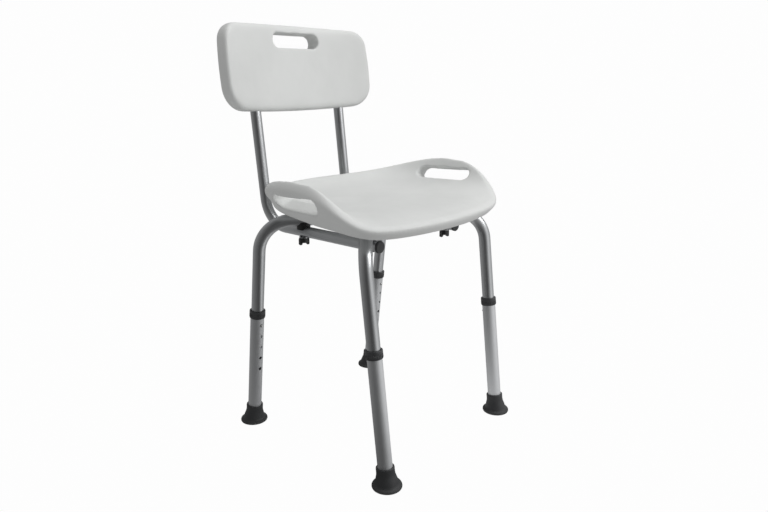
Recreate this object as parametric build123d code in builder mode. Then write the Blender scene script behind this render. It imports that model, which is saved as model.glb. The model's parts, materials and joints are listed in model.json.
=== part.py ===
from build123d import *

import os
from math import atan, atan2, cos, degrees, exp, hypot, pi, radians, sin, sqrt, tanh

os.makedirs("parts", exist_ok=True)

# A shower chair: two bent tubes cross under a moulded seat and make the four legs, and two
# L-shaped tubes under them carry the backrest. Millimetres, +Z up, the sitter faces -Y.
# The origin is on the floor, under the middle of the whole chair.

# Driving dimensions -----------------------------------------------------------------------
FEET_Y = -19.5  # the middle of the four feet, in front of the origin
FOOT_X = 192.7  # from the middle to a foot, across the chair
FOOT_Y = 193.7  # from the middle to a foot, along the chair
SPLAY = 0.1188  # how far a leg leans towards the middle for each mm that it rises, along Y only
LEAN = atan(SPLAY)

RAIL_Z = 457.5  # centre of the crossing tubes under the seat
FRAME_R = 12.7  # 1 inch frame tube
FRAME_WALL = 1.5
FRAME_BEND = 66.0
FLAT_H = 12.6  # height of a crossing tube where it is pressed flat
FLAT_W = pi * FRAME_R + FLAT_H * (1 - pi / 2)  # its width there, with the same skin
FLAT_HALF = 20.0  # half the length of the flat
FLAT_RUN = 34.0  # length of the taper from flat to round

LEG_R = 14.3  # 1 1/8 inch leg extension
LEG_WALL = 1.4
HOLE_PITCH = 25.4
HOLE_COUNT = 5
HOLE_R = 3.4
BUTTON_S = 235.3  # snap button, along the leg from the floor
FRAME_END_S = 171.5  # lower end of the frame tube inside the extension
LEG_BOTTOM_S = 14.5
LEG_TOP_S = 264.4
BUTTON_R = 3.1
BUTTON_TIP = 17.0  # from the leg's axis
BUTTON_BASE = 9.6

COLLAR_R = 16.5
COLLAR_H = 16.5
COLLAR_LIP = 3.0
FOOT_R = 29.0
FOOT_NECK_R = 17.8
FOOT_TOP_S = 40.0
FOOT_FLANGE = 5.5  # height of the foot's wide rim
FOOT_CONE_R = 23.2  # the cone over the rim, at its bottom
FOOT_CONE_TOP = 24.0
TREAD_GROOVES = (13.0, 19.0, 24.5)
TREAD_DEPTH = 1.2
WASHER_T = 1.5
STRIP = 0.6  # thickness of the spring clip

ARM_R = 11.1  # 7/8 inch back-support tube
ARM_WALL = 1.4
ARM_X = 122.4
ARM_Z = 433.2
ARM_FRONT = -114.0  # front end, from the middle of the feet
ARM_BEND = 61.0
BACK_Y = 197.9  # where the upright's line meets the arm's line, from the middle of the feet
BACK_SLOPE = 0.11
BACK_LEAN = atan(BACK_SLOPE)
UPRIGHT_TOP = 345.0  # along the upright, from that corner

KNOB_X = ARM_X
KNOB_Y = ARM_X * (FOOT_Y - SPLAY * RAIL_Z) / FOOT_X  # under the crossing tube's line
STUD_R = 4.0
STUD_HOLE_R = 4.4
STUD_IN_KNOB = 9.0
STUD_IN_SEAT = 15.0

SEAT_W = 250.0  # half the seat's width
SEAT_MID = -9.0  # its widest line, from the middle of the feet
SEAT_FRONT = 199.0  # from the widest line to the front edge
SEAT_REAR = 200.0
SEAT_BASE = RAIL_Z + FRAME_R + 0.8
SEAT_TOP = 497.0
SKIN = 3.0  # wall of the blow-moulded shells

BACK_W = 207.0  # half the backrest's width
BACK_LOW = 233.3  # its bottom edge, along the upright
BACK_HIGH = 414.8
BACK_CORNER = 46.0  # its lower corners
BACK_TOP_CORNER = 32.0
BACK_T = 35.5
BACK_BOW = 24.0  # how far its sides stand in front of its middle
BACK_MID = -11.0  # the front face at the middle, from the uprights' plane
BACK_EDGE = 10.0
BACK_GRIP_AT = 378.5  # middle of its hand slot, along the upright
BACK_GRIP_W = 130.0
BACK_GRIP_H = 31.0
SEAT_GRIP_W = 128.0  # the seat's two hand slots
SEAT_GRIP_H = 30.0
GRIP_DROP = 20.0  # degrees
GRIP_RISE = 0.05  # how far a slot rises towards its front end, for each mm along it
GRIP_AT = (214.0, -8.0, 525.5)  # middle of the right slot, its Y from the seat's widest line
RIM_SIDE = 67.0  # height of the seat's rim over its middle, at the sides
RIM_REAR = 20.0
RIM_FRONT = -8.0
RIM_POWER = 7.5  # how late the rim rises
RIM_AT = 0.955  # where it is highest, as a share of the way to the outline

CORNERS = {"rear_left": (-1, 1), "front_left": (-1, -1), "rear_right": (1, 1), "front_right": (1, -1)}
SIDES = {"left": -1, "right": 1}


def leg_point(sx, sy, s):
    """A point on a leg's axis, s along it from the floor."""
    return Vector(sx * FOOT_X, FEET_Y + sy * (FOOT_Y - s * sin(LEAN)), s * cos(LEAN))


def leg_plane(sx, sy, s):
    """Across a leg at s: local Z runs up the leg, local X towards the middle of the chair."""
    up = Vector(0, -sy * sin(LEAN), cos(LEAN))
    inward = Vector(0, -sy * cos(LEAN), -sin(LEAN))
    return Plane(origin=leg_point(sx, sy, s), x_dir=inward, z_dir=up)


def leg_side_plane(sx, sy, s):
    """Along a leg through its axis: local X runs up the leg, local Z towards the middle."""
    across = leg_plane(sx, sy, s)
    return Plane(origin=across.origin, x_dir=across.z_dir, z_dir=across.x_dir)


def leg_profile_plane(sx, sy):
    """A lengthwise section of a leg: local X towards the middle, local Y up the leg."""
    across = leg_plane(sx, sy, 0)
    return Plane(origin=across.origin, x_dir=across.x_dir, z_dir=across.x_dir.cross(across.z_dir))


def back_plane(x, t):
    """Across an upright, t along it from its corner: local Y points backwards."""
    up = Vector(0, sin(BACK_LEAN), cos(BACK_LEAN))
    corner = Vector(x, FEET_Y + BACK_Y, ARM_Z)
    return Plane(origin=corner + up * t, x_dir=(1, 0, 0), z_dir=up)


def finish(piece, name):
    piece.part.label = name
    export_step(piece.part, f"parts/{name}.step")


# The two crossing tubes --------------------------------------------------------------------
def rail_end(sx, sy):
    """Where a leg's axis meets the line of its crossing tube."""
    return leg_point(sx, sy, RAIL_Z / cos(LEAN))


def crossing_tube(name, ends, rise):
    centre = Vector(0, FEET_Y, RAIL_Z)
    flat_centre = centre + Vector(0, 0, rise)
    with BuildPart() as tube:
        for inset, mode in ((0, Mode.ADD), (FRAME_WALL, Mode.SUBTRACT)):
            for sx, sy in ends:
                outwards = (rail_end(sx, sy) - centre).normalized()
                sideways = Vector(0, 0, 1).cross(outwards)
                taper_start = centre + outwards * (FLAT_HALF + FLAT_RUN)
                with BuildLine() as path:
                    FilletPolyline(
                        leg_point(sx, sy, FRAME_END_S), rail_end(sx, sy), taper_start, radius=FRAME_BEND
                    )
                with BuildSketch(leg_plane(sx, sy, FRAME_END_S)):
                    Circle(FRAME_R - inset)
                sweep(mode=mode)
                with BuildSketch(Plane(origin=taper_start, x_dir=sideways, z_dir=outwards)):
                    Circle(FRAME_R - inset)
                with BuildSketch(
                    Plane(origin=flat_centre + outwards * FLAT_HALF, x_dir=sideways, z_dir=outwards)
                ):
                    Ellipse(FLAT_W / 2 - inset, FLAT_H / 2 - inset)
                loft(mode=mode)
                with BuildSketch(
                    Plane(origin=flat_centre + outwards * FLAT_HALF, x_dir=sideways, z_dir=outwards)
                ):
                    Ellipse(FLAT_W / 2 - inset, FLAT_H / 2 - inset)
                extrude(amount=-FLAT_HALF, mode=mode)
        with BuildSketch(Plane.XY.offset(RAIL_Z - 2 * FRAME_R)):
            with Locations((0, FEET_Y)):
                Circle(STUD_HOLE_R - 1)
            with Locations([(sx * KNOB_X, FEET_Y + sy * KNOB_Y) for sx, sy in ends]):
                Circle(STUD_HOLE_R)
        extrude(amount=4 * FRAME_R, mode=Mode.SUBTRACT)
        for sx, sy in ends:
            with BuildSketch(leg_side_plane(sx, sy, BUTTON_S)):
                Circle(HOLE_R)
            extrude(amount=2 * FRAME_R, mode=Mode.SUBTRACT)
    finish(tube, name)


crossing_tube("crossing_tube_upper", [CORNERS["rear_left"], CORNERS["front_right"]], FLAT_H / 2)
crossing_tube("crossing_tube_lower", [CORNERS["front_left"], CORNERS["rear_right"]], -FLAT_H / 2)

# The bolt, nut and washers that hold the crossing together
CROSS_R = STUD_HOLE_R - 1.3
with BuildPart() as crossing_bolt:
    with BuildSketch(Plane.XY.offset(RAIL_Z - FLAT_H - 10)):
        with Locations((0, FEET_Y)):
            Circle(CROSS_R)
    extrude(amount=2 * FLAT_H + 11.2)
    with BuildSketch(Plane.XY.offset(RAIL_Z + FLAT_H + 1.2)):
        with Locations((0, FEET_Y)):
            RegularPolygon(5.8, 6)
    extrude(amount=4)
finish(crossing_bolt, "crossing_bolt")

with BuildPart() as crossing_nut:
    with BuildSketch(Plane.XY.offset(RAIL_Z - FLAT_H - 7.7)):
        with Locations((0, FEET_Y)):
            RegularPolygon(5.8, 6)
            Circle(CROSS_R + 0.05, mode=Mode.SUBTRACT)
    extrude(amount=6.5)
finish(crossing_nut, "crossing_nut")

with BuildPart() as crossing_washers:
    for bottom in (RAIL_Z + FLAT_H, RAIL_Z - FLAT_H - 1.2):
        with BuildSketch(Plane.XY.offset(bottom)):
            with Locations((0, FEET_Y)):
                Circle(9)
                Circle(CROSS_R + 0.2, mode=Mode.SUBTRACT)
        extrude(amount=1.2)
finish(crossing_washers, "crossing_washers")

# The four adjustable legs --------------------------------------------------------------------
COLLAR_S = LEG_TOP_S + COLLAR_LIP - COLLAR_H
for corner, (sx, sy) in CORNERS.items():
    with BuildPart() as extension:
        with BuildSketch(leg_plane(sx, sy, LEG_BOTTOM_S)):
            Circle(LEG_R)
            Circle(LEG_R - LEG_WALL, mode=Mode.SUBTRACT)
        extrude(amount=LEG_TOP_S - LEG_BOTTOM_S)
        with BuildSketch(leg_side_plane(sx, sy, BUTTON_S)):
            with Locations([(-n * HOLE_PITCH, 0) for n in range(HOLE_COUNT)]):
                Circle(HOLE_R)
        extrude(amount=2 * LEG_R, mode=Mode.SUBTRACT)
    finish(extension, f"leg_extension_{corner}")

    with BuildPart() as collar:
        with BuildSketch(leg_plane(sx, sy, COLLAR_S)):
            Circle(COLLAR_R)
        extrude(amount=COLLAR_H)
        fillet(collar.edges().filter_by(GeomType.CIRCLE), 1.6)
        with BuildSketch(leg_plane(sx, sy, COLLAR_S)):
            Circle(LEG_R + 0.05)
        extrude(amount=COLLAR_H - COLLAR_LIP, mode=Mode.SUBTRACT)
        with BuildSketch(leg_plane(sx, sy, COLLAR_S)):
            Circle(FRAME_R + 0.25)
        extrude(amount=COLLAR_H, mode=Mode.SUBTRACT)
    finish(collar, f"leg_collar_{corner}")

    # The foot stands flat while its neck leans with the leg.
    with BuildPart() as foot:
        with BuildSketch(Plane(origin=leg_point(sx, sy, 0), x_dir=(1, 0, 0), z_dir=(0, -1, 0))):
            with BuildLine():
                Polyline((0, FOOT_CONE_TOP), (0, 0), (FOOT_R - 1, 0))
                ThreePointArc((FOOT_R - 1, 0), (FOOT_R, FOOT_FLANGE / 2), (FOOT_R - 1, FOOT_FLANGE))
                Polyline(
                    (FOOT_R - 1, FOOT_FLANGE),
                    (FOOT_CONE_R, FOOT_FLANGE + 2.5),
                    (FOOT_NECK_R + FOOT_CONE_TOP * sin(LEAN), FOOT_CONE_TOP),
                    (0, FOOT_CONE_TOP),
                )
            make_face()
        revolve(axis=Axis(leg_point(sx, sy, 0), (0, 0, 1)))
        with BuildSketch(leg_plane(sx, sy, 12)):
            Circle(FOOT_NECK_R)
        extrude(amount=FOOT_TOP_S - 12)
        with BuildSketch(leg_plane(sx, sy, LEG_BOTTOM_S - WASHER_T)):
            Circle(LEG_R + 0.05)
        extrude(amount=FOOT_TOP_S, mode=Mode.SUBTRACT)
        with BuildSketch(Plane(origin=leg_point(sx, sy, 0))):
            for groove in TREAD_GROOVES:
                Circle(groove + 1)
                Circle(groove - 1, mode=Mode.SUBTRACT)
        extrude(amount=TREAD_DEPTH, mode=Mode.SUBTRACT)
    finish(foot, f"rubber_foot_{corner}")

    with BuildPart() as foot_washer:
        with BuildSketch(leg_plane(sx, sy, LEG_BOTTOM_S - WASHER_T)):
            Circle(LEG_R - 0.3)
            Circle(5, mode=Mode.SUBTRACT)
        extrude(amount=WASHER_T)
    finish(foot_washer, f"foot_washer_{corner}")

    with BuildPart() as button:
        with BuildSketch(leg_side_plane(sx, sy, BUTTON_S).offset(BUTTON_BASE)):
            Circle(BUTTON_R)
        extrude(amount=BUTTON_TIP - BUTTON_BASE)
        tip = button.faces().sort_by(Axis(leg_point(sx, sy, BUTTON_S), leg_plane(sx, sy, 0).x_dir))[-1]
        fillet(tip.edges(), 2.0)
    finish(button, f"snap_button_{corner}")

    # A folded strip inside the tube pushes the button out.
    with BuildPart() as clip:
        with BuildSketch(leg_profile_plane(sx, sy)):
            with BuildLine():
                strip = FilletPolyline(
                    (BUTTON_BASE - STRIP / 2, BUTTON_S + 6),
                    (BUTTON_BASE - STRIP / 2, BUTTON_S - 8),
                    (0, BUTTON_S - 44),
                    (-10.3, BUTTON_S - 8),
                    (-10.3, BUTTON_S + 6),
                    radius=3,
                )
                offset(strip, amount=STRIP / 2, side=Side.BOTH, mode=Mode.REPLACE)
            make_face()
        extrude(amount=3.5, both=True)
    finish(clip, f"spring_clip_{corner}")

# The back supports -------------------------------------------------------------------------
SCREW_R = 2.1
SCREWS_AT = (259.0, 317.0)  # along the upright
for side, sx in SIDES.items():
    x = sx * ARM_X
    front = Vector(x, FEET_Y + ARM_FRONT, ARM_Z)
    with BuildPart() as support:
        with BuildLine():
            FilletPolyline(front, back_plane(x, 0).origin, back_plane(x, UPRIGHT_TOP).origin, radius=ARM_BEND)
        with BuildSketch(Plane(origin=front, x_dir=(1, 0, 0), z_dir=(0, 1, 0))):
            Circle(ARM_R)
            Circle(ARM_R - ARM_WALL, mode=Mode.SUBTRACT)
        sweep()
        with BuildSketch(Plane.XY.offset(ARM_Z - 2 * ARM_R)):
            with Locations([(x, FEET_Y + sy * KNOB_Y) for sy in (-1, 1)]):
                Circle(STUD_HOLE_R)
        extrude(amount=4 * ARM_R, mode=Mode.SUBTRACT)
        for t in SCREWS_AT:
            hole = back_plane(x, t)
            with BuildSketch(Plane(origin=hole.origin, x_dir=(1, 0, 0), z_dir=hole.y_dir)):
                Circle(SCREW_R + 0.05)
            extrude(amount=2 * ARM_R, mode=Mode.SUBTRACT)
    finish(support, f"back_support_{side}")

    with BuildPart() as cap:
        with BuildSketch(Plane(origin=front, x_dir=(1, 0, 0), z_dir=(0, -1, 0))):
            Circle(ARM_R + 0.7)
        extrude(amount=5)
        fillet(cap.faces().sort_by(Axis.Y)[0].edges(), 2)
        with BuildSketch(Plane(origin=front, x_dir=(1, 0, 0), z_dir=(0, 1, 0))):
            Circle(ARM_R - ARM_WALL - 0.1)
            Circle(ARM_R - ARM_WALL - 2, mode=Mode.SUBTRACT)
        extrude(amount=14)
    finish(cap, f"tube_end_cap_{side}")

# The clamps between frame, back supports and seat ----------------------------------------------
SADDLE_R = 14.0
KNOB_TOP = ARM_Z - ARM_R - 1.6
KNOB_HUB_R = 8.0
KNOB_HUB_H = 11.0
KNOB_SPAN = 11.0  # from the knob's axis to the end of a wing
KNOB_H = 15.5
KNOB_NOTCH = 10.5  # how far down the gap between the wings starts
WING_T = 6.0
for corner, (sx, sy) in CORNERS.items():
    spot = Vector(sx * KNOB_X, FEET_Y + sy * KNOB_Y, 0)
    along = rail_end(sx, sy) - Vector(0, FEET_Y, RAIL_Z)
    with BuildPart() as saddle:
        with BuildSketch(Plane(origin=spot + Vector(0, 0, ARM_Z + 5))):
            Circle(SADDLE_R)
            Circle(STUD_HOLE_R, mode=Mode.SUBTRACT)
        extrude(amount=RAIL_Z - ARM_Z - 10)
        with BuildSketch(Plane(origin=spot + Vector(0, 0, RAIL_Z), z_dir=along)):
            Circle(FRAME_R + 0.05)
        extrude(amount=2 * SADDLE_R, both=True, mode=Mode.SUBTRACT)
        with BuildSketch(Plane(origin=spot + Vector(0, 0, ARM_Z), z_dir=(0, 1, 0))):
            Circle(ARM_R + 0.05)
        extrude(amount=2 * SADDLE_R, both=True, mode=Mode.SUBTRACT)
    finish(saddle, f"saddle_{corner}")

    with BuildPart() as knob:
        with BuildSketch(Plane(origin=spot + Vector(0, 0, KNOB_TOP))):
            Circle(KNOB_HUB_R)
        extrude(amount=-KNOB_HUB_H)
        turn = 35 if sx * sy > 0 else -20
        wings = Plane(origin=spot, x_dir=(cos(radians(turn)), sin(radians(turn)), 0), z_dir=(0, 0, 1))
        with BuildSketch(Plane(origin=spot, x_dir=wings.x_dir, z_dir=-wings.y_dir)):
            for wing in (-1, 1):
                with BuildLine():
                    Polyline(
                        (0, KNOB_TOP - 1),
                        (wing * (KNOB_SPAN - 1), KNOB_TOP - 1),
                        (wing * KNOB_SPAN, KNOB_TOP - 3),
                        (wing * KNOB_SPAN, KNOB_TOP - KNOB_H),
                        (wing * KNOB_SPAN / 2, KNOB_TOP - KNOB_H),
                        (wing * KNOB_SPAN / 4, KNOB_TOP - KNOB_NOTCH),
                        (0, KNOB_TOP - KNOB_NOTCH),
                        close=True,
                    )
                make_face()
        extrude(amount=WING_T / 2, both=True)
        with BuildSketch(Plane(origin=spot + Vector(0, 0, KNOB_TOP - STUD_IN_KNOB))):
            Circle(STUD_R)
        extrude(amount=2 * STUD_IN_KNOB, mode=Mode.SUBTRACT)
    finish(knob, f"wing_knob_{corner}")

    with BuildPart() as stud:
        with BuildSketch(Plane(origin=spot + Vector(0, 0, KNOB_TOP - STUD_IN_KNOB))):
            Circle(STUD_R)
        extrude(amount=SEAT_BASE + STUD_IN_SEAT - KNOB_TOP + STUD_IN_KNOB)
        chamfer(stud.faces().sort_by(Axis.Z)[-1].edges(), 0.8)
    finish(stud, f"knob_stud_{corner}")

with BuildPart() as knob_washers:
    with BuildSketch(Plane.XY.offset(KNOB_TOP + 0.1)):
        with Locations([(sx * KNOB_X, FEET_Y + sy * KNOB_Y) for sx, sy in CORNERS.values()]):
            Circle(10)
            Circle(STUD_HOLE_R, mode=Mode.SUBTRACT)
    extrude(amount=1.2)
finish(knob_washers, "knob_washers")

INSERT_R = 8.0
INSERT_H = 17.0
with BuildPart() as seat_inserts:
    with BuildSketch(Plane.XY.offset(SEAT_BASE)):
        with Locations([(sx * KNOB_X, FEET_Y + sy * KNOB_Y) for sx, sy in CORNERS.values()]):
            Circle(INSERT_R)
    extrude(amount=INSERT_H)
    with BuildSketch(Plane.XY.offset(SEAT_BASE)):
        with Locations([(sx * KNOB_X, FEET_Y + sy * KNOB_Y) for sx, sy in CORNERS.values()]):
            Circle(STUD_R + 0.05)
    extrude(amount=STUD_IN_SEAT + 0.5, mode=Mode.SUBTRACT)
finish(seat_inserts, "seat_inserts")


# The seat ----------------------------------------------------------------------------------
def seat_edge(turn, inset):
    """The seat's outline: an ellipse behind its widest line, and a fuller curve in front."""
    c, s = cos(turn), sin(turn)
    if s >= 0:
        return (SEAT_W - inset) * c, FEET_Y + SEAT_MID + (SEAT_REAR - inset) * s
    x = (SEAT_W - inset) * abs(c) ** (2 / 1.75) * (1 if c > 0 else -1)
    return x, FEET_Y + SEAT_MID - (SEAT_FRONT - inset) * abs(s) ** (2 / 5)


def seat_share(x, y):
    """How far out a point lies, 0 at the middle and 1 on the outline, and its direction."""
    dy = y - FEET_Y - SEAT_MID
    if dy >= 0:
        share = hypot(x / SEAT_W, dy / SEAT_REAR)
    else:
        low, high = 0.001, 2.0
        for _ in range(40):
            share = (low + high) / 2
            if abs(x / SEAT_W / share) ** 1.75 + abs(dy / SEAT_FRONT / share) ** 5 > 1:
                low = share
            else:
                high = share
    return share, degrees(atan2(dy, abs(x)))


def seat_top(x, y):
    """The sitting surface: a rim that rises to a grip at each side and falls away in front."""
    share, turn = seat_share(x, y)
    if turn >= 0:
        rim = RIM_REAR + (RIM_SIDE - RIM_REAR) * exp(-((turn / 28) ** 2))
        power = RIM_POWER - 3 * turn / 90
    else:
        rim = RIM_FRONT + (RIM_SIDE - RIM_FRONT) * exp(-((-turn / 27.5) ** 6))
        power = RIM_POWER
    return SEAT_TOP + rim * min(share / RIM_AT, 1) ** power


def seat_bottom(x, y):
    """The underside: flat in the middle, its edge low in front and higher towards the back."""
    share, turn = seat_share(x, y)
    edge = 1.1 + 10 * tanh((turn + 30) / 9) + 5 * (1 + tanh((turn - 8) / 16))
    return SEAT_BASE + edge * min(share / 0.92, 1.05) ** 6


def seat_solid(inset):
    """The seat's outer form, or with an inset the hollow inside its skin."""
    stations_x = [-264 + 24 * n for n in range(23)]
    stations_y = [FEET_Y - 224 + 24 * n for n in range(19)]
    top = Face.make_surface_from_array_of_points(
        [[Vector(x, y, seat_top(x, y) - inset) for y in stations_y] for x in stations_x], tol=0.5
    )
    bottom = Face.make_surface_from_array_of_points(
        [[Vector(x, y, seat_bottom(x, y) + inset) for y in stations_y] for x in stations_x], tol=0.5
    )
    turns = [2 * pi * n / 28 for n in range(28)]
    with BuildPart() as form:
        for z, inward in ((SEAT_BASE - 20, 26), (SEAT_TOP + 30, 0), (SEAT_TOP + 90, 14)):
            with BuildSketch(Plane.XY.offset(z)):
                with BuildLine():
                    Spline([seat_edge(turn, inward + inset) for turn in turns], periodic=True)
                make_face()
        loft()
        extrude(top, amount=200, dir=(0, 0, -1), mode=Mode.INTERSECT)
        extrude(bottom, amount=200, dir=(0, 0, 1), mode=Mode.INTERSECT)
    return form.part


def grip_plane(sx):
    """Across a side grip, which slopes down towards the outside."""
    out = Vector(sx * cos(radians(GRIP_DROP)), 0, -sin(radians(GRIP_DROP)))
    middle = Vector(sx * GRIP_AT[0], FEET_Y + SEAT_MID + GRIP_AT[1], GRIP_AT[2])
    return Plane(origin=middle, x_dir=(0, 1, -GRIP_RISE), z_dir=out)


KNOB_SPOTS = [(sx * KNOB_X, FEET_Y + sy * KNOB_Y) for sx, sy in CORNERS.values()]
BOLT_RECESS = 11.0
seat_outside = seat_solid(0)
seat_inside = seat_solid(SKIN)

# The hollow leaves walls round the grips, the inserts and the recess over the bolt's head.
with BuildPart() as seat_hollow:
    add(seat_inside)
    for sx in SIDES.values():
        with BuildSketch(grip_plane(sx).offset(-60)):
            SlotOverall(SEAT_GRIP_W + 2 * SKIN, SEAT_GRIP_H + 2 * SKIN)
        extrude(amount=120, mode=Mode.SUBTRACT)
    with BuildSketch(Plane.XY.offset(SEAT_BASE)):
        with Locations(KNOB_SPOTS):
            Circle(INSERT_R + SKIN)
    extrude(amount=100, mode=Mode.SUBTRACT)
    with BuildSketch(Plane.XY.offset(SEAT_BASE)):
        with Locations((0, FEET_Y)):
            Circle(BOLT_RECESS + SKIN)
    extrude(amount=9, mode=Mode.SUBTRACT)

with BuildPart() as seat:
    add(seat_outside)
    add(seat_hollow.part, mode=Mode.SUBTRACT)
    for sx in SIDES.values():
        with BuildSketch(grip_plane(sx).offset(-60)):
            SlotOverall(SEAT_GRIP_W, SEAT_GRIP_H)
        extrude(amount=120, mode=Mode.SUBTRACT)
    with BuildSketch(Plane.XY.offset(SEAT_BASE - 4)):
        with Locations(KNOB_SPOTS):
            Circle(INSERT_R)
    extrude(amount=4 + INSERT_H, mode=Mode.SUBTRACT)
    with BuildSketch(Plane.XY.offset(SEAT_BASE - 4)):
        with Locations((0, FEET_Y)):
            Circle(BOLT_RECESS)
    extrude(amount=10, mode=Mode.SUBTRACT)
finish(seat, "seat_shell")


# The backrest --------------------------------------------------------------------------------
BOW_R = (BACK_W**2 + BACK_BOW**2) / (2 * BACK_BOW)


def bow(x, depth):
    """How far behind the uprights' plane a face of the backrest lies, depth behind its front."""
    return BACK_MID - BOW_R + sqrt((BOW_R + depth) ** 2 - x**2)


def back_form(inset, edge):
    base = back_plane(0, 0)
    facing = Plane(origin=base.origin, x_dir=(1, 0, 0), z_dir=-base.y_dir)
    wide = BACK_W - inset
    low = BACK_LOW + inset
    high = BACK_HIGH - inset
    reach = BACK_W + 30
    with BuildPart() as form:
        with BuildSketch(facing.offset(-60)):
            with BuildLine():
                ThreePointArc((-wide + 4, low + 5), (0, low), (wide - 4, low + 5))
                ThreePointArc((wide - 4, low + 5), (wide, (low + high) / 2 - 20), (wide - 9, high - 7))
                ThreePointArc((wide - 9, high - 7), (0, high), (-wide + 9, high - 7))
                ThreePointArc((-wide + 9, high - 7), (-wide, (low + high) / 2 - 20), (-wide + 4, low + 5))
            make_face()
            fillet(vertices().group_by(Axis.Y)[0], BACK_CORNER - inset)
            fillet(vertices().group_by(Axis.Y)[-1], BACK_TOP_CORNER - inset)
        extrude(amount=140)
        with BuildSketch(back_plane(0, BACK_LOW - 20)):
            with BuildLine():
                ends = [(x, bow(x, depth)) for depth in (inset, BACK_T - inset) for x in (-reach, reach)]
                ThreePointArc(ends[0], (0, bow(0, inset)), ends[1])
                Line(ends[1], ends[3])
                ThreePointArc(ends[3], (0, bow(0, BACK_T - inset)), ends[2])
                Line(ends[2], ends[0])
            make_face()
        extrude(amount=BACK_HIGH - BACK_LOW + 40, mode=Mode.INTERSECT)
        if edge:
            faces_front_and_back = form.faces().sort_by(Axis(base.origin, base.y_dir))
            fillet(faces_front_and_back[0].edges() + faces_front_and_back[-1].edges(), edge)
    return form.part


def back_slot(grow):
    base = back_plane(0, 0)
    with BuildPart() as slot:
        with BuildSketch(Plane(origin=base.origin, x_dir=(1, 0, 0), z_dir=-base.y_dir).offset(-60)):
            with Locations((0, BACK_GRIP_AT)):
                SlotOverall(BACK_GRIP_W + 2 * grow, BACK_GRIP_H + 2 * grow)
        extrude(amount=120)
    return slot.part


back_outside = back_form(0, BACK_EDGE)
back_inside = back_form(SKIN, BACK_EDGE - SKIN)
with BuildPart() as back_hollow:
    add(back_inside)
    add(back_slot(SKIN), mode=Mode.SUBTRACT)
    for sx in SIDES.values():
        with BuildSketch(back_plane(sx * ARM_X, BACK_LOW - 10)):
            Circle(ARM_R + SKIN)
        extrude(amount=UPRIGHT_TOP - BACK_LOW + 10 + SKIN, mode=Mode.SUBTRACT)

with BuildPart() as back:
    add(back_outside)
    add(back_hollow.part, mode=Mode.SUBTRACT)
    add(back_slot(0), mode=Mode.SUBTRACT)
    for sx in SIDES.values():
        with BuildSketch(back_plane(sx * ARM_X, BACK_LOW - 10)):
            Circle(ARM_R + 0.1)
        extrude(amount=UPRIGHT_TOP - BACK_LOW + 10.5, mode=Mode.SUBTRACT)
        for t in SCREWS_AT:
            spot = back_plane(sx * ARM_X, t)
            with BuildSketch(Plane(origin=spot.origin, x_dir=(1, 0, 0), z_dir=spot.y_dir)):
                Circle(SCREW_R + 0.05)
            extrude(amount=BACK_T, mode=Mode.SUBTRACT)
finish(back, "backrest_shell")

HEAD_AT = bow(ARM_X, BACK_T) + 0.9
with BuildPart() as backrest_screws:
    for sx in SIDES.values():
        for t in SCREWS_AT:
            spot = back_plane(sx * ARM_X, t)
            tip = Plane(origin=spot.origin + spot.y_dir * 6, x_dir=(1, 0, 0), z_dir=spot.y_dir)
            with BuildSketch(tip):
                Circle(SCREW_R)
            extrude(amount=HEAD_AT - 6)
            with BuildSketch(tip.offset(HEAD_AT - 6)):
                Circle(4.4)
            extrude(amount=2.4, taper=20)
finish(backrest_screws, "backrest_screws")
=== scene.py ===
# %% [markdown]
# # A shower chair
# The chair is two round tubes that cross under a moulded seat and turn down into four legs, two
# bent tubes that carry a moulded backrest, and small dark fittings. The engineering model already
# says where every piece is, so this lesson only gives each one its finished surface.
# It begins by loading that model.

# %% Load the model
import json
from math import atan2, cos, degrees, exp, hypot, pi, radians, sin, sqrt, tanh

import bmesh
import bpy
from mathutils import Matrix, Vector


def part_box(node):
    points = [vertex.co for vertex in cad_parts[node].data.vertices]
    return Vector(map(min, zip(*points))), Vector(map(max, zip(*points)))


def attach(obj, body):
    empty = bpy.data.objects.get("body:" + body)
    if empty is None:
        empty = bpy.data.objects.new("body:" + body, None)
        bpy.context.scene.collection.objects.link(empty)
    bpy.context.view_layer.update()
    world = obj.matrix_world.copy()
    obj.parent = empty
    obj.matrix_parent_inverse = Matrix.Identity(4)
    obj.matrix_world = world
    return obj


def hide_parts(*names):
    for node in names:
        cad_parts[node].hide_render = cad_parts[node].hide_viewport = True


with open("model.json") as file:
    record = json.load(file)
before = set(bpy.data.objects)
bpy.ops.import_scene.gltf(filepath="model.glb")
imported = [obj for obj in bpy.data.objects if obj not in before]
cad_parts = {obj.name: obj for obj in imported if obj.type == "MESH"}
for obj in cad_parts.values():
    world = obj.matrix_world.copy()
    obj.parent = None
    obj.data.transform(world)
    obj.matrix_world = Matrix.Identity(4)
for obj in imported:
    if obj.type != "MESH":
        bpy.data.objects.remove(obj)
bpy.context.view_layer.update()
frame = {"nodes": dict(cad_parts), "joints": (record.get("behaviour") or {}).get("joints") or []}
joints = {joint["name"]: joint for joint in frame["joints"]}
print("pieces in the model:", len(frame["nodes"]), "joints:", len(joints))

# %% [markdown]
# The camera stands in front and to the left at about the height of a table, looking slightly down.
# It is aimed by a heading and a dip instead of at a target, because those two angles can each be
# corrected without disturbing the other.

# %% The camera
EYE = Vector((-1.0118, -0.9038, 0.7334))
HEADING = radians(49.57)  # from straight ahead towards the right
DIP = radians(15.09)
LENS = 30.8

looking = Vector((sin(HEADING) * cos(DIP), cos(HEADING) * cos(DIP), -sin(DIP)))
camera = bpy.data.objects.new("camera", bpy.data.cameras.new("camera"))
camera.data.lens = LENS
camera.data.sensor_width = 36.0
camera.location = EYE
camera.rotation_euler = looking.to_track_quat("-Z", "Y").to_euler()
bpy.context.scene.collection.objects.link(camera)
bpy.context.scene.camera = camera
print("camera looks along", tuple(round(v, 3) for v in looking))

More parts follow.
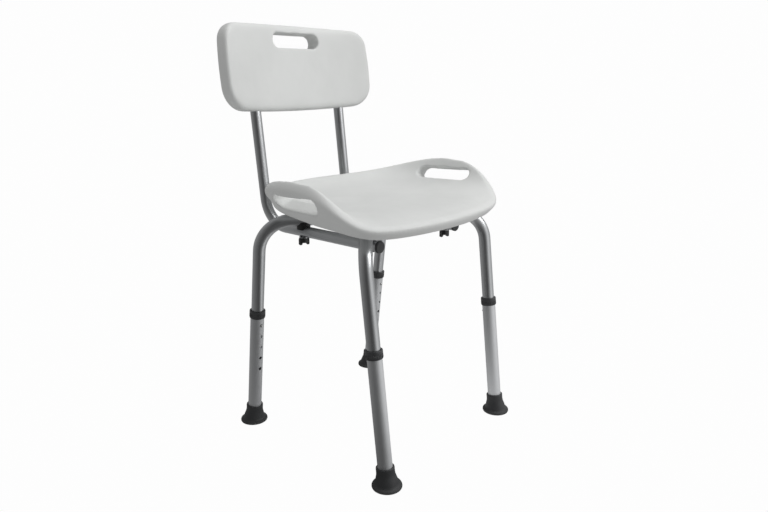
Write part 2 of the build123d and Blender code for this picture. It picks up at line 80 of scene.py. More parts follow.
# %% [markdown]
# Every finish below is a small network of shader nodes. Written node by node that is long and hard
# to read, so one class wraps a node's output and lets Python's own operators add the Math nodes:
# `0.5 + 0.2 * low` then means what it says. Only the operators that are used are there. A second
# class holds one material or world and makes every other kind of node with a single method.

# %% Shader maths as Python
class Wire:
    """One output of a shader node. Arithmetic on it adds Math nodes."""

    def __init__(self, finish, socket):
        self.finish, self.socket = finish, socket

    def maths(self, operation, *values):
        return self.finish.node("ShaderNodeMath", {"operation": operation}, dict(enumerate(values)))

    def __add__(self, other):
        return self.maths("ADD", self, other)

    def __mul__(self, other):
        return self.maths("MULTIPLY", self, other)

    def __truediv__(self, other):
        return self.maths("DIVIDE", self, other)

    __radd__ = __add__
    __rmul__ = __mul__


class Finish:
    """One material, or the world, and the nodes in it."""

    def __init__(self, owner, shader):
        owner.use_nodes = True
        self.owner, self.tree = owner, owner.node_tree
        self.shader = next(n for n in self.tree.nodes if n.bl_idname == shader)

    def node(self, kind, settings=None, inputs=None, output=0):
        made = self.tree.nodes.new(kind)
        for name, value in (settings or {}).items():
            if name == "stops":
                self.stops(made.color_ramp, value)
            else:
                setattr(made, name, value)
        for name, value in (inputs or {}).items():
            self.feed(made, name, value)
        return Wire(self, made.outputs[output])

    def stops(self, ramp, values):
        while len(ramp.elements) < len(values):
            ramp.elements.new(0.5)
        for element, (place, grey) in zip(ramp.elements, values):
            element.position = place
            element.color = (grey, grey, grey, 1)

    def feed(self, node, name, value):
        if isinstance(value, Wire):
            self.tree.links.new(value.socket, node.inputs[name])
        else:
            node.inputs[name].default_value = value

    def surface(self, **inputs):
        for name, value in inputs.items():
            self.feed(self.shader, name.replace("_", " "), value)

    def place(self, scale=(1, 1, 1)):
        """The piece's own coordinates in metres, stretched by scale."""
        here = self.node("ShaderNodeTexCoord", output="Object")
        return self.node("ShaderNodeMapping", inputs={"Vector": here, "Scale": scale})

    def noise(self, vector, size, detail=3.0, roughness=0.55):
        """Noise from 0 to 1, its lumps about size metres apart."""
        inputs = {"Vector": vector, "Scale": 1 / size, "Detail": detail, "Roughness": roughness}
        return self.node("ShaderNodeTexNoise", inputs=inputs)

    def ramp(self, value, *stops):
        return self.node("ShaderNodeValToRGB", {"stops": stops}, {"Fac": value})

    def mix(self, share, first, second):
        """A blend of two colours."""
        settings = {"data_type": "RGBA"}
        inputs = {0: share, 6: first, 7: second}
        return self.node("ShaderNodeMix", settings, inputs, output=2)

    def bump(self, height, depth, strength=1.0, under=None):
        inputs = {"Height": height, "Distance": depth, "Strength": strength}
        if under is not None:
            inputs["Normal"] = under
        return self.node("ShaderNodeBump", inputs=inputs)


def new_finish(name, colour, roughness, metallic=0.0):
    finish = Finish(bpy.data.materials.new(name), "ShaderNodeBsdfPrincipled")
    finish.surface(Base_Color=(*colour, 1), Roughness=roughness, Metallic=metallic)
    return finish


print("shader helpers ready")

# %% [markdown]
# The chair stands on a plain pale floor under two wide soft lights, one above it and one in front of
# it to the right.
# Bright metal shows what is around it: in an all-white room a tube looks like flat grey paint.
# So what the shiny surfaces see is not the white studio but a ring of grey bands, darkest behind
# the camera and brightest to its right, as a studio with dark stands and one bright wall would be.
# The floor shows them the same bands, because an upright tube seen from above mirrors the floor.

# %% The floor, the lights and the surroundings
FLOOR_HALF = 30.0
PAPER = 0.985
AMBIENT = 0.40
FLOOR_GREY = 0.45
BANDS = ((0.0, 0.16), (0.1, 0.06), (0.16, 0.1), (0.22, 0.4), (0.28, 0.95), (0.34, 0.75), (0.42, 0.55))
BANDS += ((0.5, 0.42), (0.61, 0.36), (0.72, 0.34), (0.82, 0.34), (0.9, 0.26), (0.95, 0.2), (1.0, 0.16))


def grey(value):
    return (value, value, value, 1)


def surroundings(finish, heading, plain):
    """White paper for the camera, grey bands for mirrors, and the plain colour for soft light."""
    parts = finish.node("ShaderNodeSeparateXYZ", inputs={"Vector": heading})
    north = Wire(finish, parts.socket.node.outputs["Y"])
    bearing = parts.maths("ARCTAN2", north, parts) / (2 * pi) + 0.5
    rays = finish.node("ShaderNodeLightPath").socket.node.outputs
    mirrored = finish.mix(Wire(finish, rays["Is Glossy Ray"]), plain, finish.ramp(bearing, *BANDS))
    return finish.mix(Wire(finish, rays["Is Camera Ray"]), mirrored, grey(PAPER))


floor_mesh = bpy.data.meshes.new("floor")
corners = [(-FLOOR_HALF, -FLOOR_HALF, 0), (FLOOR_HALF, -FLOOR_HALF, 0)]
corners += [(FLOOR_HALF, FLOOR_HALF, 0), (-FLOOR_HALF, FLOOR_HALF, 0)]
floor_mesh.from_pydata(corners, [], [(0, 1, 2, 3)])
floor = bpy.data.objects.new("floor", floor_mesh)
bpy.context.scene.collection.objects.link(floor)
paper = new_finish("studio_floor", (0, 0, 0), 1.0)
paper.surface(
    Emission_Color=surroundings(paper, paper.place(), grey(FLOOR_GREY)),
    Emission_Strength=1.0,
    Specular_IOR_Level=0.0,
)
floor_mesh.materials.append(paper.owner)

world = bpy.data.worlds.new("studio")
bpy.context.scene.world = world
studio = Finish(world, "ShaderNodeBackground")
outwards = studio.node("ShaderNodeTexCoord", output="Generated")
studio.surface(Color=surroundings(studio, outwards, grey(AMBIENT)), Strength=1.0)


def soft_light(name, place, size, power):
    lamp = bpy.data.objects.new(name, bpy.data.lights.new(name, "AREA"))
    lamp.data.size = size
    lamp.data.energy = power
    lamp.location = place
    aim = Vector((0, 0, 0.45)) - Vector(place)
    lamp.rotation_euler = aim.to_track_quat("-Z", "Y").to_euler()
    bpy.context.scene.collection.objects.link(lamp)


soft_light("light_front_right", (1.4, -2.1, 2.1), 1.8, 40)
soft_light("light_overhead", (0.5, -0.2, 3.2), 2.0, 28)
bpy.context.scene.view_settings.view_transform = "Standard"
print("floor, surroundings and two lights")

# %% [markdown]
# The seat and the back are blow-moulded polyethylene: a waxy white skin with a very fine moulded
# grain, a little waviness because the hot wall cools unevenly, and slightly duller patches.
# All of that is far too fine to model, so it goes into the bump and roughness of one finish.

# %% The white moulded plastic
WHITE = (0.715, 0.725, 0.715)
GREY_WHITE = (0.665, 0.675, 0.665)

plastic = new_finish("white_moulded_plastic", WHITE, 0.42)
spot = plastic.place()
cloud = plastic.noise(spot, 0.12, 4)
grain = plastic.noise(spot, 0.0011, 2, 0.6)
waves = plastic.noise(spot, 0.05, 2)
plastic.surface(
    Base_Color=plastic.mix(plastic.ramp(cloud, (0.35, 0), (0.7, 1)), (*WHITE, 1), (*GREY_WHITE, 1)),
    Roughness=0.36 + 0.1 * cloud + 0.08 * grain,
    Normal=plastic.bump(grain, 0.00012, 0.55, plastic.bump(waves, 0.0012, 0.35)),
    Specular_IOR_Level=0.42,
)
print("finish:", plastic.owner.name)

# %% [markdown]
# The tubes are drawn aluminium with a satin anodised skin. Drawing leaves hair lines along the
# tube, so the pattern has to follow it round its bends: each tube carries its own coordinates,
# once round and in metres along, and the noise is squeezed round and stretched along.
# The straight leg extensions come from the model as they are, and they stand almost upright, so
# for them the pattern is simply stretched in height.

# %% The aluminium finishes
ALUMINIUM = (0.60, 0.61, 0.62)
ALUMINIUM_DARK = (0.46, 0.47, 0.48)
LEG_METAL = (0.74, 0.75, 0.76)  # the extensions are paler and duller than the frame
TUBE_ROUGHNESS, LEG_ROUGHNESS = 0.27, 0.56


def drawn_metal(name, vector, colour, dark, roughness):
    metal = new_finish(name, colour, roughness, 1.0)
    where = vector(metal)
    lines = metal.noise(where, 0.02, 3, 0.7)
    fine = metal.noise(where, 0.006, 2, 0.6)
    patches = metal.noise(metal.place(), 0.04, 3)
    metal.surface(
        Base_Color=metal.mix(lines * 0.7 + patches * 0.3, (*dark, 1), (*colour, 1)),
        Roughness=roughness - 0.06 + 0.12 * fine + 0.08 * patches,
        Normal=metal.bump(fine, 0.00004, 0.5, metal.bump(lines, 0.00008, 0.4)),
    )
    return metal


LINES = 14.0  # how much the pattern is squeezed round a tube
DRAWN = 0.35  # and how little of it is left along the tube


def along_the_bends(metal):
    """The swept tube's own coordinates, as if it were straight again."""
    ring = metal.node("ShaderNodeAttribute", {"attribute_name": "ring"}, output="Vector")
    along = metal.node("ShaderNodeAttribute", {"attribute_name": "along"}, output="Fac")
    length = metal.node("ShaderNodeCombineXYZ", inputs={"Z": along * DRAWN})
    squeezed = metal.node("ShaderNodeMapping", inputs={"Vector": ring, "Scale": (LINES, LINES, 0)})
    return metal.node("ShaderNodeVectorMath", {"operation": "ADD"}, {0: squeezed, 1: length})


def upright(metal):
    return metal.place((LINES, LINES, DRAWN))


swept_aluminium = drawn_metal("satin_aluminium", along_the_bends, ALUMINIUM, ALUMINIUM_DARK, TUBE_ROUGHNESS)
leg_aluminium = drawn_metal("satin_aluminium_leg", upright, LEG_METAL, ALUMINIUM, LEG_ROUGHNESS)
print("finishes:", swept_aluminium.owner.name, leg_aluminium.owner.name)

# %% [markdown]
# The small parts are moulded too: dark grey collars and caps, black knobs and saddles, and rubber
# feet. Moulded parts have a sparked grain, and rubber that stands on wet floors goes pale and
# scuffed where it touches them, so the feet get lighter and rougher in their last few millimetres.

# %% The dark plastics and the rubber
def moulded(name, colour, roughness, grain_size, depth):
    dark = new_finish(name, colour, roughness)
    spot = dark.place()
    fine = dark.noise(spot, grain_size, 2, 0.6)
    broad = dark.noise(spot, 0.015, 3)
    lighter = tuple(value * 1.5 + 0.004 for value in colour)
    dark.surface(
        Base_Color=dark.mix(dark.ramp(broad, (0.4, 0), (0.75, 1)), (*colour, 1), (*lighter, 1)),
        Roughness=roughness - 0.08 + 0.1 * fine + 0.1 * broad,
        Normal=dark.bump(fine, depth, 0.6),
    )
    return dark


dark_grey = moulded("dark_grey_plastic", (0.036, 0.037, 0.039), 0.44, 0.0006, 0.0001)
black = moulded("black_plastic", (0.0085, 0.0085, 0.009), 0.38, 0.0005, 0.00008)

SCUFF_TOP = 0.010
RUBBER = (0.030, 0.031, 0.033)
RUBBER_WORN = (0.085, 0.084, 0.081)
rubber = moulded("foot_rubber", RUBBER, 0.6, 0.0008, 0.00012)
height = rubber.node("ShaderNodeSeparateXYZ", inputs={"Vector": rubber.place()}, output="Z")
speckle = rubber.noise(rubber.place(), 0.004, 4, 0.7)
low = rubber.ramp(height / SCUFF_TOP, (0.0, 1.0), (1.0, 0.0))
worn = rubber.ramp(low * speckle, (0.25, 0.0), (0.6, 1.0))
rubber.surface(
    Base_Color=rubber.mix(worn, (*RUBBER, 1), (*RUBBER_WORN, 1)),
    Roughness=0.5 + 0.15 * speckle + 0.2 * low,
)
print("finishes:", dark_grey.owner.name, black.owner.name, rubber.owner.name)

# %% [markdown]
# The hidden hardware is plated steel, turned brass and spring steel. Plating has a faint crystal
# pattern, which cells of slightly different grey give. A turned surface has rings round it, but the
# brass here gets the same cells as the plating and no rings.

# %% The hardware metals
def plated(name, colour, roughness):
    metal = new_finish(name, colour, roughness, 1.0)
    spot = metal.place()
    cells = metal.node("ShaderNodeTexVoronoi", inputs={"Vector": spot, "Scale": 900.0}, output="Color")
    shade = metal.node("ShaderNodeRGBToBW", inputs={"Color": cells})
    haze = metal.noise(spot, 0.003, 3)
    darker = tuple(value * 0.8 for value in colour)
    metal.surface(
        Base_Color=metal.mix(shade, (*darker, 1), (*colour, 1)),
        Roughness=roughness - 0.08 + 0.1 * shade + 0.1 * haze,
        Normal=metal.bump(haze, 0.00005, 0.4),
    )
    return metal


zinc = plated("zinc_plated_steel", (0.62, 0.63, 0.64), 0.32)
stainless = plated("stainless_steel", (0.58, 0.58, 0.57), 0.2)
spring_steel = plated("spring_steel", (0.33, 0.34, 0.36), 0.3)
brass = plated("turned_brass", (0.72, 0.53, 0.24), 0.3)
print("finishes:", zinc.owner.name, stainless.owner.name, spring_steel.owner.name, brass.owner.name)

# %% [markdown]
# Mesh helpers come next. Sizes are written in millimetres, as on a drawing, and turned into metres
# once, where a mesh is made. A piece whose outline changes from ring to ring, like a foot or a
# seat, is a stack of rings joined by quads and closed at both poles.

# %% Rings, curves and meshes
MM = 0.001
SLOT_STEPS = 48  # points round a slot or a round hole


def link_piece(name, mesh, finish):
    piece = bpy.data.objects.new(name, mesh)
    bpy.context.scene.collection.objects.link(piece)
    mesh.materials.clear()
    mesh.materials.append(finish.owner)
    mesh.shade_smooth()
    return piece


def ring_mesh(name, rings, hollow=False):
    """A closed skin through rings of points in millimetres. A ring of one point is a pole, and a
    hollow piece has no poles: its last ring joins its first."""
    shape = bmesh.new()
    rows = [[shape.verts.new(Vector(point) * MM) for point in ring] for ring in rings]
    if hollow:
        rows.append(rows[0])
    for first, second in zip(rows, rows[1:]):
        count = max(len(first), len(second))
        for n in range(count):
            loop = [first[n % len(first)], first[(n + 1) % len(first)]]
            loop += [second[(n + 1) % len(second)], second[n % len(second)]]
            shape.faces.new(list(dict.fromkeys(loop)))
    bmesh.ops.recalc_face_normals(shape, faces=shape.faces)
    mesh = bpy.data.meshes.new(name)
    shape.to_mesh(mesh)
    shape.free()
    return mesh


def bspline(points, steps):
    """A smooth run of points that is drawn towards each control point and ends on the two ends."""
    points = [Vector(point) for point in points]
    guide = [2 * points[0] - points[1], *points, 2 * points[-1] - points[-2]]
    smooth = []
    for a, b, c, d in zip(guide, guide[1:], guide[2:], guide[3:]):
        for n in range(steps):
            t = n / steps
            weights = ((1 - t) ** 3, 3 * t**3 - 6 * t**2 + 4, -3 * t**3 + 3 * t**2 + 3 * t + 1, t**3)
            smooth.append(sum((w * p for w, p in zip(weights, (a, b, c, d))), Vector.Fill(len(a))) / 6)
    return smooth + [points[-1]]


def bake(piece, name):
    """A plain mesh of what the piece's modifiers make."""
    evaluated = piece.evaluated_get(bpy.context.evaluated_depsgraph_get())
    mesh = bpy.data.meshes.new_from_object(evaluated)
    mesh.name = name
    return mesh


def finish_solid(piece, cutters, voxel, smoothing):
    """Cuts openings, skins the solid evenly and softens every edge as a mould does."""
    for cutter in cutters:
        cut = piece.modifiers.new("cut", "BOOLEAN")
        cut.operation = "DIFFERENCE"
        cut.solver = "EXACT"
        cut.object = cutter
    skin = piece.modifiers.new("skin", "REMESH")
    skin.mode = "VOXEL"
    skin.voxel_size = voxel * MM
    soften = piece.modifiers.new("soften", "SMOOTH")
    soften.factor = 0.5
    soften.iterations = smoothing
    mesh = bake(piece, piece.name)
    piece.modifiers.clear()
    for cutter in cutters:
        bpy.data.objects.remove(cutter)
    piece.data = mesh
    mesh.shade_smooth()
    print(piece.name, "has", len(mesh.polygons), "faces")
    return piece


def slot_cutter(name, middle, along, through, length, width, depth):
    """A bar with round ends that passes through a wall: middle, its long way and its way through."""
    along, through = along.normalized(), through.normalized()
    across = through.cross(along)
    straight = (length - width) / 2
    outline = []
    for n in range(SLOT_STEPS):
        turn = 2 * pi * (n + 0.5) / SLOT_STEPS
        side = straight if cos(turn) > 0 else -straight
        outline.append(along * (side + width / 2 * cos(turn)) + across * (width / 2 * sin(turn)))
    ends = [[middle + through * reach + point for point in outline] for reach in (-depth, depth)]
    rings = [[middle - through * depth], *ends, [middle + through * depth]]
    return link_piece(name, ring_mesh(name, rings), plastic)


print("mesh helpers ready")

# %% [markdown]
# The seat is a shallow dish. Its rim is low at the back, climbs to a wing at each side, where the
# hand slots are, and falls away in front like a waterfall. A heap of boxes could never flow like
# that, so the seat is drawn as a section that changes with direction: for each direction from the
# middle a smooth line runs over the top, round the rim and back underneath.

# %% The seat's outline and section
SEAT_HALF_WIDE = 250.0
SEAT_FRONT = 199.0  # from its widest line
SEAT_REAR = 200.0
SEAT_MIDDLE = -28.5  # its widest line, along the chair
SEAT_UNDER = 471.0
SEAT_OVER = 497.0
WING = 61.5  # height of the rim over the seat's middle at the sides
REAR_RIM = 24.0
FRONT_RIM = -9.0
RIM_AT = 0.94  # where the rim is highest, as a share of the way to the edge
DISH_POWER, REAR_EASE = 7.5, 3  # how late the top turns up, and how much sooner it does at the back
REAR_SPREAD, FRONT_SPREAD, FRONT_FALL = 34, 28, 3.5  # degrees over which a wing fades, and how steeply
LIFT_LEAST = 1.3  # how far the underside's edge rises: two soft steps on the way from front to back
FRONT_STEP, FRONT_STEP_AT, FRONT_STEP_OVER = 12, -30, 9
SIDE_STEP, SIDE_STEP_AT, SIDE_STEP_OVER = 7.3, -2, 10
UNDER_EDGE, UNDER_POWER = 0.95, 9
TUCK, WING_TUCK, TUCK_SPREAD = 0.03, 0.05, 35  # how far the wall leans in below the rim
TOP_SHARES = (0, 0.2, 0.4, 0.55, 0.66, 0.75, 0.82, 0.88, 0.925)
UNDER_SHARES = (0.5, 0.75, 0.9, 0.93, UNDER_EDGE)
DIRECTIONS = 216


def seat_edge(turn):
    c, s = cos(turn), sin(turn)
    if s >= 0:
        return Vector((SEAT_HALF_WIDE * c, SEAT_REAR * s))
    out = SEAT_HALF_WIDE * abs(c) ** (2 / 1.75)
    return Vector((out if c > 0 else -out, -SEAT_FRONT * abs(s) ** 0.4))


def seat_section(edge):
    """Points of (share of the way to the edge, height) from the middle of the top to below it."""
    way = degrees(atan2(edge.y, abs(edge.x)))
    if way >= 0:
        rim = REAR_RIM + (WING - REAR_RIM) * exp(-((way / REAR_SPREAD) ** 2))
        power = DISH_POWER - REAR_EASE * way / 90
    else:
        rim = FRONT_RIM + (WING - FRONT_RIM) * exp(-((-way / FRONT_SPREAD) ** FRONT_FALL))
        power = DISH_POWER
    lift = LIFT_LEAST + FRONT_STEP * tanh((way - FRONT_STEP_AT) / FRONT_STEP_OVER)
    lift += SIDE_STEP * (1 + tanh((way - SIDE_STEP_AT) / SIDE_STEP_OVER))
    tuck = TUCK + WING_TUCK * exp(-((way / TUCK_SPREAD) ** 2))
    top = {share: SEAT_OVER + rim * (share / RIM_AT) ** power for share in TOP_SHARES}
    under = {share: SEAT_UNDER + lift * (share / UNDER_EDGE) ** UNDER_POWER for share in UNDER_SHARES}
    crest = SEAT_OVER + rim
    edge_under = under[UNDER_EDGE]
    deep = crest - edge_under
    section = [(share, top[share]) for share in TOP_SHARES]
    section += [(0.945, crest + 1), (0.968, crest - 0.06 * deep), (0.992, crest - 0.18 * deep)]
    section += [(1.005, crest - 0.32 * deep), (0.987, crest - 0.62 * deep), (1 - tuck, edge_under + 7)]
    section += [(0.99 - tuck, under[0.93] - 1), (0.95 - tuck, under[0.9] - 1), (0.75, under[0.75])]
    return section + [(0.5, under[0.5]), (0.25, SEAT_UNDER), (0, SEAT_UNDER)]


columns = []
for n in range(DIRECTIONS):
    edge = seat_edge(2 * pi * n / DIRECTIONS)
    line = bspline(seat_section(edge), 5)
    columns.append([Vector((edge.x * p.x, SEAT_MIDDLE + edge.y * p.x, p.y)) for p in line])
seat_rings = [[column[row] for column in columns] for row in range(len(columns[0]))]
seat_rings[0], seat_rings[-1] = seat_rings[0][:1], seat_rings[-1][:1]
seat = link_piece("seat", ring_mesh("seat", seat_rings), plastic)
print("seat section has", len(seat_rings), "rings of", DIRECTIONS)

# %% [markdown]
# Each wing has a hand slot that passes down and outwards through the wall, and the underside has
# a shallow recess over the bolt where the tubes cross. They are cut out of the solid, and then the
# whole seat is given one even skin and smoothed, so that each slot gets the soft lips of a moulding.

# %% Cut and skin the seat
GRIP_DROP = radians(20)
GRIP_RISE = 0.05
GRIP_OUT, GRIP_FORE, GRIP_UP = 214.0, -36.5, 526.5
GRIP_LONG, GRIP_WIDE = 128.0, 30.0
RECESS_R, RECESS_LOW, RECESS_TOP = 11.0, 460, 477.0
CUTTER_REACH = 60  # a cutter passes this far to each side of the wall

seat_cutters = []
for side in (-1, 1):
    through = Vector((side * cos(GRIP_DROP), 0, -sin(GRIP_DROP)))
    middle = Vector((side * GRIP_OUT, GRIP_FORE, GRIP_UP))
    along = Vector((0, 1, -GRIP_RISE))
    seat_cutters.append(slot_cutter("grip", middle, along, through, GRIP_LONG, GRIP_WIDE, CUTTER_REACH))
feet = [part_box(name) for name in sorted(frame["nodes"]) if name.startswith("rubber_foot")]
CHAIR_MIDDLE = sum((low + high for low, high in feet), Vector()) / 8 / MM
recess = [[(CHAIR_MIDDLE.x, CHAIR_MIDDLE.y, RECESS_LOW)]]
for z in (RECESS_LOW, RECESS_TOP):
    turns = [2 * pi * n / SLOT_STEPS for n in range(SLOT_STEPS)]
    recess.append([(RECESS_R * cos(t), CHAIR_MIDDLE.y + RECESS_R * sin(t), z) for t in turns])
recess.append([(CHAIR_MIDDLE.x, CHAIR_MIDDLE.y, RECESS_TOP)])
seat_cutters.append(link_piece("recess", ring_mesh("recess", recess), plastic))
finish_solid(seat, seat_cutters, 2.3, 8)
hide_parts("seat_shell")
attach(seat, "frame")

# %% [markdown]
# The backrest is a bowed slab with big round corners and a hand slot near its top. Its edge keeps
# the same roundness all the way round, so each ring is the outline moved inwards by an even
# distance. A distance formula for a rounded box gives that: a ring is where the formula says
# "this far inside", found by halving steps along each direction.

# %% The backrest's outline and rings
BACK_HALF_WIDE = 207.0
BACK_HALF_TALL = 89.5
LOWER_CORNER, UPPER_CORNER = 44.0, 31.0
BACK_CENTRE = 323.5  # its middle, along the uprights
BACK_THICK = 35.5
BACK_FRONT = -11.0  # the front face at the middle, from the uprights' plane
BACK_BOW = 27.0
SIDE_CROWN, WIDEST_AT = 7.5, -15  # its sides, top and bottom all bulge a little
TOP_CROWN, BOTTOM_CROWN = 7, 5
FLAT_FROM = 30  # the faces are flat from this far inside the outline
FAR_OUT, HALVINGS = 300.0, 30
BOW_RADIUS = (BACK_HALF_WIDE**2 + BACK_BOW**2) / (2 * BACK_BOW)
UPRIGHT_SLOPE = 0.11
UPRIGHT_FOOT = Vector((0, CHAIR_MIDDLE.y + 197.9, 433.2))
BACK_UP = Vector((0, UPRIGHT_SLOPE, 1)).normalized()
BACK_BEHIND = Vector((1, 0, 0)).cross(BACK_UP) * -1
FRONT_EDGE = [(FLAT_FROM, 0), (22, 0), (15, 0.2), (9, 0.6), (4, 2.2), (1, 6.5), (0, 12)]
EDGE_SECTION = FRONT_EDGE + [(inset, BACK_THICK - depth) for inset, depth in reversed(FRONT_EDGE)]


def inside_back(x, y):
    """How far outside the backrest's outline a point lies; below zero is inside."""
    corner = UPPER_CORNER if y > 0 else LOWER_CORNER
    crown = TOP_CROWN if y > 0 else BOTTOM_CROWN
    wide = BACK_HALF_WIDE - SIDE_CROWN * ((y - WIDEST_AT) / BACK_HALF_TALL) ** 2 - corner
    tall = BACK_HALF_TALL - crown * (x / BACK_HALF_WIDE) ** 2 - corner
    over_x, over_y = abs(x) - wide, abs(y) - tall
    return hypot(max(over_x, 0), max(over_y, 0)) + min(max(over_x, over_y), 0) - corner


def back_point(x, y, depth):
    curve = BACK_FRONT - BOW_RADIUS + sqrt((BOW_RADIUS + depth) ** 2 - x * x)
    return UPRIGHT_FOOT + Vector((x, 0, 0)) + BACK_UP * (BACK_CENTRE + y) + BACK_BEHIND * curve


def back_ring(inset, depth, shrink=1.0):
    points = []
    for n in range(DIRECTIONS):
        c, s = cos(2 * pi * n / DIRECTIONS), sin(2 * pi * n / DIRECTIONS)
        near, far = 0.0, FAR_OUT
        for _ in range(HALVINGS):
            reach = (near + far) / 2
            if inside_back(c * reach, s * reach) > -inset:
                far = reach
            else:
                near = reach
        points.append(back_point(c * near * shrink, s * near * shrink, depth))
    return points


inner_shares = (0.06, 0.2, 0.35, 0.5, 0.65, 0.8, 0.92)
back_rings = [[back_point(0, 0, 0)]]
back_rings += [back_ring(FLAT_FROM, 0, share) for share in inner_shares]
back_rings += [back_ring(point.x, point.y) for point in bspline(EDGE_SECTION, 3)]
back_rings += [back_ring(FLAT_FROM, BACK_THICK, share) for share in reversed(inner_shares)]
back_rings.append([back_point(0, 0, BACK_THICK)])
backrest = link_piece("backrest", ring_mesh("backrest", back_rings), plastic)
print("backrest has", len(back_rings), "rings of", DIRECTIONS)

# %% [markdown]
# One slot through it near the top is the handle that a carer lifts the chair by.

# %% Cut and skin the backrest
BACK_GRIP_AT = 380.5
BACK_GRIP_LONG, BACK_GRIP_TALL, BACK_GRIP_REACH = 130.0, 31.0, 70

grip_middle = UPRIGHT_FOOT + BACK_UP * BACK_GRIP_AT
sideways = Vector((1, 0, 0))
grip_sizes = (BACK_GRIP_LONG, BACK_GRIP_TALL, BACK_GRIP_REACH)
back_grip = slot_cutter("back_grip", grip_middle, sideways, BACK_BEHIND, *grip_sizes)
finish_solid(backrest, [back_grip], 1.9, 7)
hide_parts("backrest_shell")
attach(backrest, "frame")

# %% [markdown]
# A bent tube is a circle swept along a path, which is exactly what Geometry Nodes do best: one tree
# takes the path's corner points, rounds them to the bender's radius, sweeps the circle and stores
# two attributes, `ring` and `along`, that say where a point would be on the straight tube. All the
# tubes use this tree with their own numbers.

# %% The node tree that sweeps a tube
class Tree:
    """A Geometry Nodes tree with named inputs, written from left to right."""

    def __init__(self, name, **inputs):
        self.tree = bpy.data.node_groups.new(name, "GeometryNodeTree")
        self.tree.interface.new_socket("Geometry", in_out="INPUT", socket_type="NodeSocketGeometry")
        for label, kind in inputs.items():
            self.tree.interface.new_socket(label, in_out="INPUT", socket_type=f"NodeSocket{kind}")
        self.tree.interface.new_socket("Geometry", in_out="OUTPUT", socket_type="NodeSocketGeometry")
        self.given = self.tree.nodes.new("NodeGroupInput").outputs

    def add(self, kind, settings=None, inputs=None, output=0):
        made = self.tree.nodes.new(kind)
        for name, value in (settings or {}).items():
            setattr(made, name, value)
        for name, value in (inputs or {}).items():
            if isinstance(value, bpy.types.NodeSocket):
                self.tree.links.new(value, made.inputs[name])
            else:
                made.inputs[name].default_value = value
        return made.outputs[output]

    def remember(self, geometry, kind, name, value):
        settings = {"data_type": kind, "domain": "POINT"}
        inputs = {"Geometry": geometry, "Name": name, "Value": value}
        return self.add("GeometryNodeStoreNamedAttribute", settings, inputs)

    def end(self, geometry):
        real = self.add("GeometryNodeRealizeInstances", inputs={"Geometry": geometry})
        painted = {"Geometry": real, "Material": self.given["Material"]}
        last = self.add("GeometryNodeSetMaterial", inputs=painted)
        self.tree.links.new(last, self.tree.nodes.new("NodeGroupOutput").inputs[0])

    def run(self, name, points, edges, finish, **values):
        """Runs the tree on a few points and returns the plain mesh that it makes."""
        start = bpy.data.meshes.new(name)
        start.from_pydata([Vector(point) * MM for point in points], edges, [])
        carrier = bpy.data.objects.new(name, start)
        bpy.context.scene.collection.objects.link(carrier)
        modifier = carrier.modifiers.new("tree", "NODES")
        modifier.node_group = self.tree
        for item in self.tree.interface.items_tree:
            if item.in_out == "INPUT" and item.name in values:
                modifier[item.identifier] = values[item.name]
            if item.in_out == "INPUT" and item.name == "Material":
                modifier[item.identifier] = finish.owner
        mesh = bake(carrier, name)
        bpy.data.objects.remove(carrier)
        return mesh


sweep = Tree("sweep_tube", Radius="Float", Bend="Float", Spacing="Float", Material="Material")
path = sweep.add("GeometryNodeMeshToCurve", inputs={"Mesh": sweep.given["Geometry"]})
corner = {"Curve": path, "Count": 24, "Radius": sweep.given["Bend"]}
path = sweep.add("GeometryNodeFilletCurve", {"mode": "POLY"}, corner)
even = {"Curve": path, "Length": sweep.given["Spacing"]}
path = sweep.add("GeometryNodeResampleCurve", {"mode": "LENGTH"}, even)
reached = sweep.add("GeometryNodeSplineParameter", output="Length")
path = sweep.remember(path, "FLOAT", "along", reached)
circle = {"Resolution": 56, "Radius": sweep.given["Radius"]}
circle = sweep.add("GeometryNodeCurvePrimitiveCircle", {"mode": "RADIUS"}, circle)
place = sweep.add("GeometryNodeInputPosition")
circle = sweep.remember(circle, "FLOAT_VECTOR", "ring", place)
skin = {"Curve": path, "Profile Curve": circle, "Fill Caps": True}
sweep.end(sweep.add("GeometryNodeCurveToMesh", inputs=skin))
print("sweep tree has", len(sweep.tree.nodes), "nodes")

# %% [markdown]
# The leg joints of the model hold each leg's direction, so the crossing tubes are drawn from them:
# up the leg, round the bend, across under the seat and down the opposite leg. Where the two tubes
# cross, a press has flattened each to half its height so that they can be bolted one on the other.

# %% The two crossing tubes
FRAME_TUBE_R = 12.7
FRAME_BEND = 66.0
RAIL_HEIGHT = 457.5
FRAME_END = 171.5  # lower end of a frame tube, along the leg
FLAT_TALL, FLAT_WIDE = 12.6, 32.7
FLAT_END, FLAT_RUN = 20.0, 34.0
PRESS_ZONE = 0.03  # in metres above and below the crossing; the legs lie outside it
TUBE_SPACING = 0.005
CORNERS = {"rear_left": (-1, 1), "front_left": (-1, -1), "rear_right": (1, 1), "front_right": (1, -1)}


def leg_up(corner):
    return Vector(joints[f"leg_height_{corner}"]["axis"]).normalized()


def foot_centre(corner):
    low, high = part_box(f"rubber_foot_{corner}")
    middle = (low + high) / 2 / MM
    return Vector((middle.x, middle.y, 0))


def leg_point(corner, reach):
    return foot_centre(corner) + leg_up(corner) * reach


